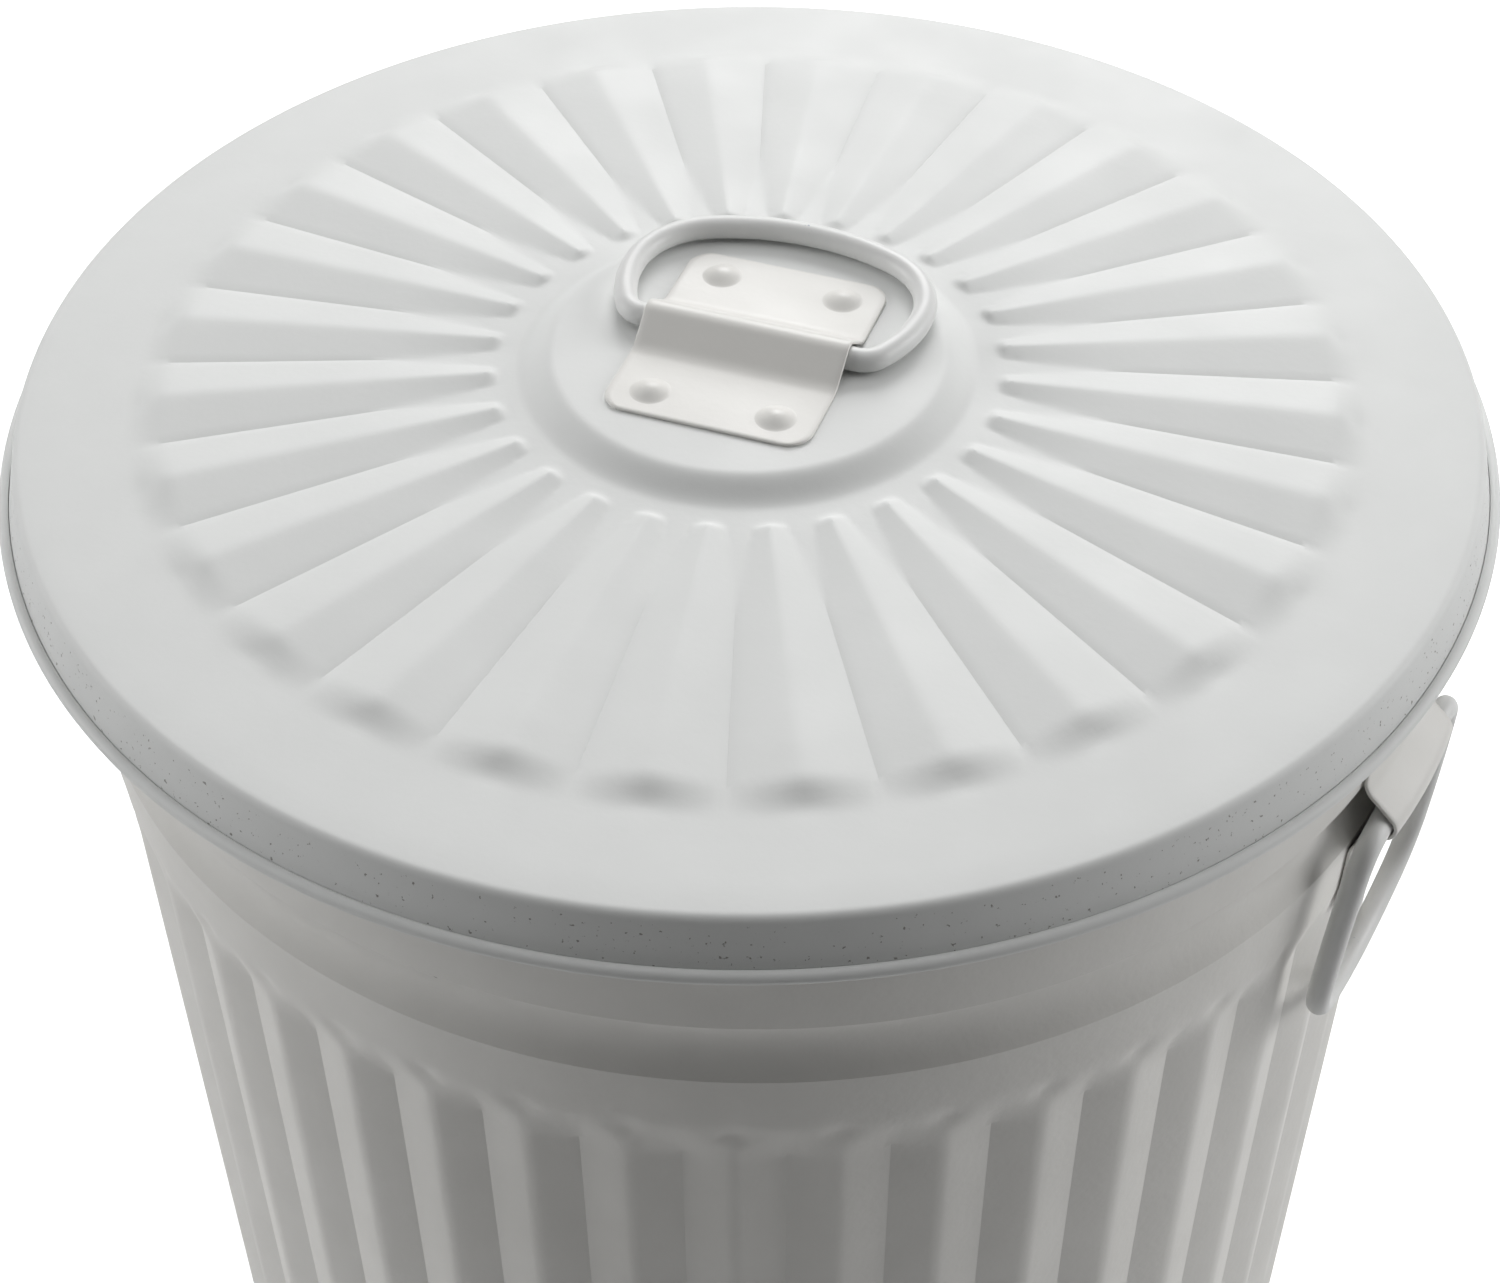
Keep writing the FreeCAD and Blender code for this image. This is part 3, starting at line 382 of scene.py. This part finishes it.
def lid_top(radius, share):
    """Height of the lid's outer face above its edge plane."""
    step_part = 1 - ease(radius, DISC_RADIUS - STEP_SPILL[0], DISC_RADIUS + DISC_STEP + STEP_SPILL[1])
    cone = cone_level(np.maximum(radius, DISC_RADIUS + DISC_STEP))
    base = cone + (DISC_LEVEL - cone) * step_part
    return base + ridge_height(radius, share)


lid_columns = RIDGES * COLUMNS_PER_RIDGE
lid_angles = np.radians(RIDGE_PHASE + np.arange(lid_columns) * 360 / lid_columns)
ridge_step = np.arange(lid_columns) % COLUMNS_PER_RIDGE
ridge_share = np.minimum(ridge_step, COLUMNS_PER_RIDGE - ridge_step) * 2 / COLUMNS_PER_RIDGE
top_radii = np.concatenate([
    [8, 30, 50], np.linspace(58, 72, 14), [73.5, 75], np.linspace(76, 86, 11), np.linspace(92, 160, 9),
    np.linspace(165, 193, 15), [200, 212, 221.6],
])
skirt_length = math.hypot(SKIRT_HEIGHT, SKIRT_FLARE)
normal = np.array([SKIRT_HEIGHT, SKIRT_FLARE]) / skirt_length
down = np.array([SKIRT_FLARE, -SKIRT_HEIGHT]) / skirt_length
skirt_end = np.array([LID_RADIUS + SKIRT_FLARE, -SKIRT_HEIGHT])
bead_centre = skirt_end + BEAD_INNER * normal
bead_outer = BEAD_INNER + SHEET
skirt_lean = math.degrees(math.atan2(normal[1], normal[0]))
edge_turn = arc((LID_RADIUS - 2.9, -2.93), 3.0, 88, skirt_lean, 9)
inner_turn = arc((LID_RADIUS - 2.9, -2.93), 2.2, skirt_lean, 88, 6)
bead_in = arc(bead_centre, BEAD_INNER, 180 + skirt_lean, 480 + skirt_lean, 14)
bead_out = arc(bead_centre, bead_outer, 480 + skirt_lean, 180 + skirt_lean, 18)
under_radii = np.concatenate([
    [221.6, 212, 200], np.linspace(193, 165, 8), [120, 95], np.linspace(86, 76, 6), np.linspace(71, 60, 7), [30, 8],
])
around = np.ones(lid_columns)
lid_radius = np.concatenate([top_radii, edge_turn[:, 0], bead_in[:, 0], bead_out[:, 0], inner_turn[:, 0],
                             under_radii])
turned = [section[:, 1:] * around for section in (edge_turn, bead_in, bead_out, inner_turn)]
lid_level = np.vstack([
    lid_top(top_radii[:, None], ridge_share[None]), *turned,
    lid_top(under_radii[:, None], ridge_share[None]) - SHEET,
])
lid_points = np.stack([
    LID_CENTRE[0] + lid_radius[:, None] * np.cos(lid_angles),
    LID_CENTRE[1] + lid_radius[:, None] * np.sin(lid_angles),
    LID_PLANE + lid_level,
], -1)
lid_edge = np.zeros(lid_points.shape[:2])
bead_row = len(top_radii) + len(edge_turn)
lid_edge[bead_row - 1:bead_row + 2] = 0.35
lid_skin = grid_mesh("lid_skin", lid_points[::-1], edge=lid_edge[::-1], close_rows=False, caps=True, sharp=24.0)
dress(lid_skin, "lid", ["lid_shell"], lid_paint)

# ---------------------------------------------------------------- strap and ears
# A stamped strap is a height field over a rounded plate: flat, concave fold, ramp, crown over the
# rod, and the same down again. Ears also follow the wall's curve.
STRAP_SHEET = 1.1
FOLD_RADIUS = 8.0
FOLD_REACH = 16.0
CHANNEL_OUTER = 5.35
STRAP_CORNER = 8.0


def channel_height(across, stand):
    """Outer height of the channel over |across|: fold arc, tangent ramp, crown arc; else the flat sheet."""
    fold_level = STRAP_SHEET + FOLD_RADIUS
    rise = fold_level - stand
    centres = math.hypot(FOLD_REACH, rise)
    lean = math.asin((CHANNEL_OUTER + FOLD_RADIUS) / centres) - math.atan2(rise, FOLD_REACH)
    crown_end = CHANNEL_OUTER * math.sin(lean)
    fold_start = FOLD_REACH - FOLD_RADIUS * math.sin(lean)
    crown_level = stand + CHANNEL_OUTER * math.cos(lean)
    place = np.abs(across)
    crown = stand + np.sqrt(np.maximum(CHANNEL_OUTER ** 2 - place ** 2, 0))
    ramp = crown_level - (place - crown_end) * math.tan(lean)
    fold = fold_level - np.sqrt(np.maximum(FOLD_RADIUS ** 2 - (FOLD_REACH - place) ** 2, 0))
    height = np.where(place < crown_end, crown, np.where(place < fold_start, ramp, fold))
    return np.where(place > FOLD_REACH, STRAP_SHEET, height)


def strap_points(width, length, stand):
    """Plate points: rows go over the top from one long edge to the other and back under it.

    Towards both ends of its length the sheet thins as a quarter ellipse, sqrt(1 - (1 - d / 0.6)^2).
    """
    across = np.concatenate([
        -length / 2 + STRAP_CORNER * (1 - np.cos(np.radians(np.linspace(0, 90, 9)))),
        np.linspace(-length / 2 + STRAP_CORNER + 2, -18, 8), np.linspace(-16.5, 0, 24),
    ])
    across = np.concatenate([across, -across[-2::-1]])
    over = np.abs(across) - (length / 2 - STRAP_CORNER)
    half = width / 2 - STRAP_CORNER + np.where(
        over > 0, np.sqrt(np.maximum(STRAP_CORNER ** 2 - np.maximum(over, 0) ** 2, 0)), STRAP_CORNER)
    rounding = np.linspace(-90, 90, 5)
    lips = np.sin(np.radians(rounding))
    bulge = np.cos(np.radians(rounding)) * STRAP_SHEET * 0.4
    share = np.linspace(-1, 1, 33)
    top = channel_height(across, stand)
    slope = np.gradient(top, across)
    thick = STRAP_SHEET * np.sqrt(1 + slope ** 2)
    from_end = length / 2 - np.abs(across)
    closing = np.clip(np.sqrt(np.clip(1 - (1 - from_end / 0.6) ** 2, 0, 1)), 0.3, 1)
    closing[from_end > 0.6] = 1
    middle = top - thick / 2
    top = middle + closing * thick / 2
    thick = closing * thick
    upper = np.stack([share[:, None] * (half - 0.45), across * np.ones((33, 1)), top * np.ones((33, 1))], -1)
    right = []
    for lip, out in zip(lips[::-1][1:-1], bulge[::-1][1:-1]):
        right.append(np.stack([half - 0.45 + out, across, top - thick * (1 - lip) / 2], -1))
    lower = np.stack([share[::-1, None] * (half - 0.45), across * np.ones((33, 1)), (top - thick) * np.ones((33, 1))],
                     -1)
    left = [part * [-1, 1, 1] for part in reversed(right)]
    points = np.concatenate([upper, np.array(right), lower, np.array(left)])
    edge = np.zeros(points.shape[:2])
    edge[[0, 32, 33, 34, 35, 36, 68, -1, -2, -3]] = 0.2
    return points, edge


def rivet_spots(along, across):
    """Places of a strap's four rivets."""
    return [(a * along, b * across) for b in (1, -1) for a in (1, -1)]


def rivet_points(height, radius):
    """Domed rivet head whose paint runs out onto the sheet: h (1 - s^2)^1.6 over the share s of the radius."""
    shares = np.linspace(0.04, 1, 14)
    turn = np.radians(np.arange(32) * 360 / 32)
    upper = height * (1 - shares ** 2) ** 1.6
    ring = np.stack([radius * np.cos(turn), radius * np.sin(turn)], -1)
    top = np.concatenate([shares[:, None, None] * ring, (upper[:, None] * np.ones(32))[..., None]], -1)
    bottom = np.concatenate([shares[::-1, None, None] * ring, np.full((14, 32, 1), -0.25)], -1)
    return np.concatenate([top, bottom])


def placed(points, matrix):
    """Points moved by a 4x4 matrix in millimetres."""
    return points @ matrix[:3, :3].T + matrix[:3, 3]


def turned_by(angle):
    """4x4 turn about Z by an angle in degrees."""
    turn = math.radians(angle)
    matrix = np.eye(4)
    matrix[:2, :2] = [[math.cos(turn), -math.sin(turn)], [math.sin(turn), math.cos(turn)]]
    return matrix


def shifted(x, y, z):
    """4x4 move."""
    matrix = np.eye(4)
    matrix[:3, 3] = (x, y, z)
    return matrix


STRAP_DIRECTION = 9.3
STRAP_WIDTH = 66.0
STRAP_LENGTH = 85.0
LID_ROD_STAND = 4.15
strap_frame = shifted(*LID_CENTRE, LID_PLANE + DISC_LEVEL) @ turned_by(STRAP_DIRECTION)
strap_spots = rivet_spots(20.0, 31.5)
points, edge = strap_points(STRAP_WIDTH, STRAP_LENGTH, LID_ROD_STAND)
strap_skin = grid_mesh("strap_skin", placed(points, strap_frame).swapaxes(0, 1), edge=edge.T,
                       close_rows=False, caps=True, sharp=50.0)
dress(strap_skin, "lid", ["lid_strap"], strap_paint)
for number, (along, across) in enumerate(strap_spots, 1):
    spot = strap_frame @ shifted(along, across, STRAP_SHEET)
    head = grid_mesh(f"lid_rivet_head_{number}", placed(rivet_points(2.2, 6.4), spot)[::-1],
                     close_rows=False, caps=True, sharp=60.0)
    dress(head, "lid", [f"lid_rivet_{number}"], strap_paint)

EAR_ROD_LEVEL = 514.0
EAR_ROD_STAND = 6.2
EAR_WALL_GAP = 0.3
EAR_WIDTH = 50.0
EAR_LENGTH = 86.0
slope_angle = math.atan(TAPER)
ear_wall_radius = FOOT_RADIUS + TAPER * EAR_ROD_LEVEL
ear_bow = EAR_WIDTH ** 2 / (8 * ear_wall_radius)


def wall_frame(angle, level, standoff):
    """4x4 frame on the wall: x along it, y up its slope, z outward."""
    lean = np.eye(4)
    lean[:3, :3] = np.array([[0, math.sin(slope_angle), math.cos(slope_angle)], [1, 0, 0],
                             [0, math.cos(slope_angle), -math.sin(slope_angle)]])
    return turned_by(angle) @ shifted(FOOT_RADIUS + TAPER * level, 0, level) @ lean @ shifted(0, 0, standoff)


for side, side_angle in (("right", 0), ("left", 180)):
    points, edge = strap_points(EAR_WIDTH, EAR_LENGTH, EAR_ROD_STAND - EAR_WALL_GAP + ear_bow)
    points = points.copy()
    local_radius = ear_wall_radius + TAPER * points[..., 1]
    points[..., 2] -= points[..., 0] ** 2 / (2 * local_radius)
    ear_frame = wall_frame(side_angle, EAR_ROD_LEVEL, EAR_WALL_GAP)
    ear_skin = grid_mesh(f"{side}_ear_skin", placed(points, ear_frame).swapaxes(0, 1), edge=edge.T,
                         close_rows=False, caps=True, sharp=50.0)
    dress(ear_skin, "can", [f"{side}_ear"], strap_paint)
    for number, (along, across) in enumerate(rivet_spots(16.0, 23.5), 1):
        level = EAR_ROD_LEVEL + across * math.cos(slope_angle)
        swing = math.degrees(math.asin(along / (FOOT_RADIUS + TAPER * level)))
        spot = wall_frame(side_angle + swing, level, EAR_WALL_GAP + STRAP_SHEET)
        head = grid_mesh(f"{side}_ear_rivet_head_{number}", placed(rivet_points(2.2, 6.2), spot)[::-1],
                         close_rows=False, caps=True, sharp=60.0)
        dress(head, "can", [f"{side}_ear_rivet_{number}"], strap_paint)

# ---------------------------------------------------------------- rings
# Round rod bent to a D: a straight in the channel, then corner, side, shoulder and bow arcs. The
# butt weld at the bow's middle is a slight swelling.
ROD_RADIUS = 3.75
AROUND_ROD = 28


def ring_centre_line(half, parts):
    """Closed centre line; each arc (radius, turn) adds dx = r (sin k - sin h), dy = r (cos h - cos k)."""
    spots = [np.stack([np.linspace(0, half, 12), np.zeros(12)], -1)]
    place = np.array([half, 0.0])
    heading = 0.0
    steps = list(parts)
    turned_so_far = sum(turn for _, turn in parts)
    steps.append((None, 180 - turned_so_far))
    for radius, turn in steps:
        radius = radius or place[0] / math.sin(heading)
        aims = heading + np.radians(np.linspace(0, turn, max(8, int(turn / 2.5) + 2)))
        part = np.stack([place[0] + radius * (np.sin(aims) - math.sin(heading)),
                         place[1] + radius * (math.cos(heading) - np.cos(aims))], -1)
        spots.append(part[1:])
        place = part[-1]
        heading = aims[-1]
    right = np.vstack(spots)
    left = right[-2:0:-1] * [-1, 1]
    return np.vstack([right, left]), len(right) - 1


def ring_points(half, parts):
    """Tube round the centre line, in its own plane z = 0, and an edge mask that marks the weld."""
    line, weld = ring_centre_line(half, parts)
    ahead = np.roll(line, -1, 0) - np.roll(line, 1, 0)
    ahead /= np.linalg.norm(ahead, axis=1)[:, None]
    side = np.stack([ahead[:, 1], -ahead[:, 0]], -1)
    from_weld = np.linalg.norm(line - line[weld], axis=1)
    radius = ROD_RADIUS - 0.05 * (1 - bell(from_weld, 0, 3.0))
    turn = np.radians(-np.arange(AROUND_ROD) * 360 / AROUND_ROD)
    points = np.empty((len(line), AROUND_ROD, 3))
    points[..., :2] = line[:, None] + (radius[:, None] * np.cos(turn))[..., None] * side[:, None]
    points[..., 2] = radius[:, None] * np.sin(turn)
    edge = 0.42 * bell(from_weld, 0, 4.0)[:, None] * np.ones(AROUND_ROD)
    return points, edge


def tilted(angle):
    """4x4 turn about X by an angle in degrees."""
    turn = math.radians(angle)
    matrix = np.eye(4)
    matrix[1:3, 1:3] = [[math.cos(turn), -math.sin(turn)], [math.sin(turn), math.cos(turn)]]
    return matrix


points, edge = ring_points(34.5, [(8.0, 60), (44.0, 30), (28.0, 68)])
ring_skin = grid_mesh("lid_ring_skin", placed(points, strap_frame @ shifted(0, 0, LID_ROD_STAND)), edge=edge, sharp=60.0)
dress(ring_skin, "lid_handle", ["lid_ring"], rod_paint)

SIDE_RING = (29.0, [(10.0, 78), (185.0, 15), (21.0, 64)])
side_line, bow = ring_centre_line(*SIDE_RING)
bow_stand = ROD_RADIUS + 0.3 - FLUTE_SET_IN
hang = math.degrees(math.asin((EAR_ROD_STAND - bow_stand) / side_line[bow, 1]))
for side, side_angle in (("right", 0), ("left", 180)):
    points, edge = ring_points(*SIDE_RING)
    rod_frame = wall_frame(side_angle, EAR_ROD_LEVEL, EAR_ROD_STAND) @ tilted(180 + hang)
    side_skin = grid_mesh(f"{side}_ring_skin", placed(points, rod_frame), edge=edge, sharp=60.0)
    dress(side_skin, f"{side}_handle", [f"{side}_ring"], rod_paint)

# ---------------------------------------------------------------- carried CAD nodes
# The wires show only where a curl is open; the pan and the hoop keep their own shapes.
for node, material in (("rim_wire", wire_metal), ("lid_edge_wire", wire_metal), ("can_bottom", wall_paint),
                       ("foot_hoop", wall_paint)):
    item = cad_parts[node]
    item.data.materials.clear()
    item.data.materials.append(material)

# ---------------------------------------------------------------- floor, light and camera
# A pale floor that reads as white to the camera, a white world, and soft lamps above and at the sides.
floor_mesh = bpy.data.meshes.new("floor")
FLOOR_HALF = 6.0
floor_mesh.from_pydata([(-FLOOR_HALF, -FLOOR_HALF, 0), (FLOOR_HALF, -FLOOR_HALF, 0), (FLOOR_HALF, FLOOR_HALF, 0),
                        (-FLOOR_HALF, FLOOR_HALF, 0)], [], [(0, 1, 2, 3)])
floor = bpy.data.objects.new("floor", floor_mesh)
bpy.context.scene.collection.objects.link(floor)
floor_material = bpy.data.materials.new("floor_white")
floor_material.use_nodes = True
floor_tree = floor_material.node_tree
floor_surface = floor_tree.nodes["Principled BSDF"]
floor_surface.inputs["Base Color"].default_value = (0.82, 0.82, 0.82, 1)
floor_surface.inputs["Roughness"].default_value = 0.9
floor_surface.inputs["Emission Color"].default_value = (1, 1, 1, 1)
floor_path = floor_tree.nodes.new("ShaderNodeLightPath")
seen = arithmetic(floor_tree, "MULTIPLY", floor_path.outputs["Is Camera Ray"], 0.6)
floor_tree.links.new(seen, floor_surface.inputs["Emission Strength"])
floor_mesh.materials.append(floor_material)

world = bpy.data.worlds.new("studio")
bpy.context.scene.world = world
world.use_nodes = True
world_tree = world.node_tree
backdrop = world_tree.nodes["Background"]
backdrop.inputs["Color"].default_value = (1, 1, 1, 1)
world_path = world_tree.nodes.new("ShaderNodeLightPath")
direct = arithmetic(world_tree, "MAXIMUM", world_path.outputs["Is Camera Ray"], 0.04)
world_tree.links.new(direct, backdrop.inputs["Strength"])

CAMERA_TURN = 29.3
camera_to_world = turned_by(CAMERA_TURN)[:3, :3]


def lamp(name, place, aim, width, watts):
    """Square area lamp; place and aim in metres in the camera's own compass (x right, y away, z up)."""
    data = bpy.data.lights.new(name, "AREA")
    data.size = width
    data.energy = watts
    item = bpy.data.objects.new(name, data)
    bpy.context.scene.collection.objects.link(item)
    start = Vector(camera_to_world @ np.array(place))
    stop = Vector(camera_to_world @ np.array(aim))
    item.location = start
    item.rotation_euler = (stop - start).to_track_quat("-Z", "Y").to_euler()
    return item


lamp("over", (0.0, 0.3, 2.8), (0, 0, 0.5), 2.2, 14)
lamp("back", (0.3, 2.7, 2.3), (0, 0, 0.5), 1.8, 62)
lamp("left", (-2.2, 0.2, 1.3), (0, 0, 0.4), 1.4, 27)
lamp("right", (2.2, 0.2, 1.3), (0, 0, 0.4), 1.4, 30)

CAMERA_PITCH = math.radians(42.634)
CAMERA_ROLL = math.radians(-0.342)
CAMERA_FROM_LID = np.array([-0.04, -704.4, 536.9])
PHOTO_WIDTH = 1500.0
FOCAL_PIXELS = 2849.4
SENSOR = 36.0
forward = np.array([0, math.cos(CAMERA_PITCH), -math.sin(CAMERA_PITCH)])
level_up = np.array([0, math.sin(CAMERA_PITCH), math.cos(CAMERA_PITCH)])
level_right = np.array([1.0, 0, 0])
right_axis = level_right * math.cos(CAMERA_ROLL) + level_up * math.sin(CAMERA_ROLL)
up_axis = level_up * math.cos(CAMERA_ROLL) - level_right * math.sin(CAMERA_ROLL)
axes = camera_to_world @ np.stack([right_axis, up_axis, -forward], -1)
lid_middle = np.array([*LID_CENTRE, LID_PLANE])
eye = (camera_to_world @ CAMERA_FROM_LID + lid_middle) * MM
camera_data = bpy.data.cameras.new("camera")
camera_data.sensor_width = SENSOR
camera_data.lens = FOCAL_PIXELS / PHOTO_WIDTH * SENSOR
camera = bpy.data.objects.new("camera", camera_data)
bpy.context.scene.collection.objects.link(camera)
matrix = np.eye(4)
matrix[:3, :3] = axes
matrix[:3, 3] = eye
camera.matrix_world = Matrix(matrix.tolist())
bpy.context.scene.camera = camera
bpy.context.scene.view_settings.view_transform = "Standard"
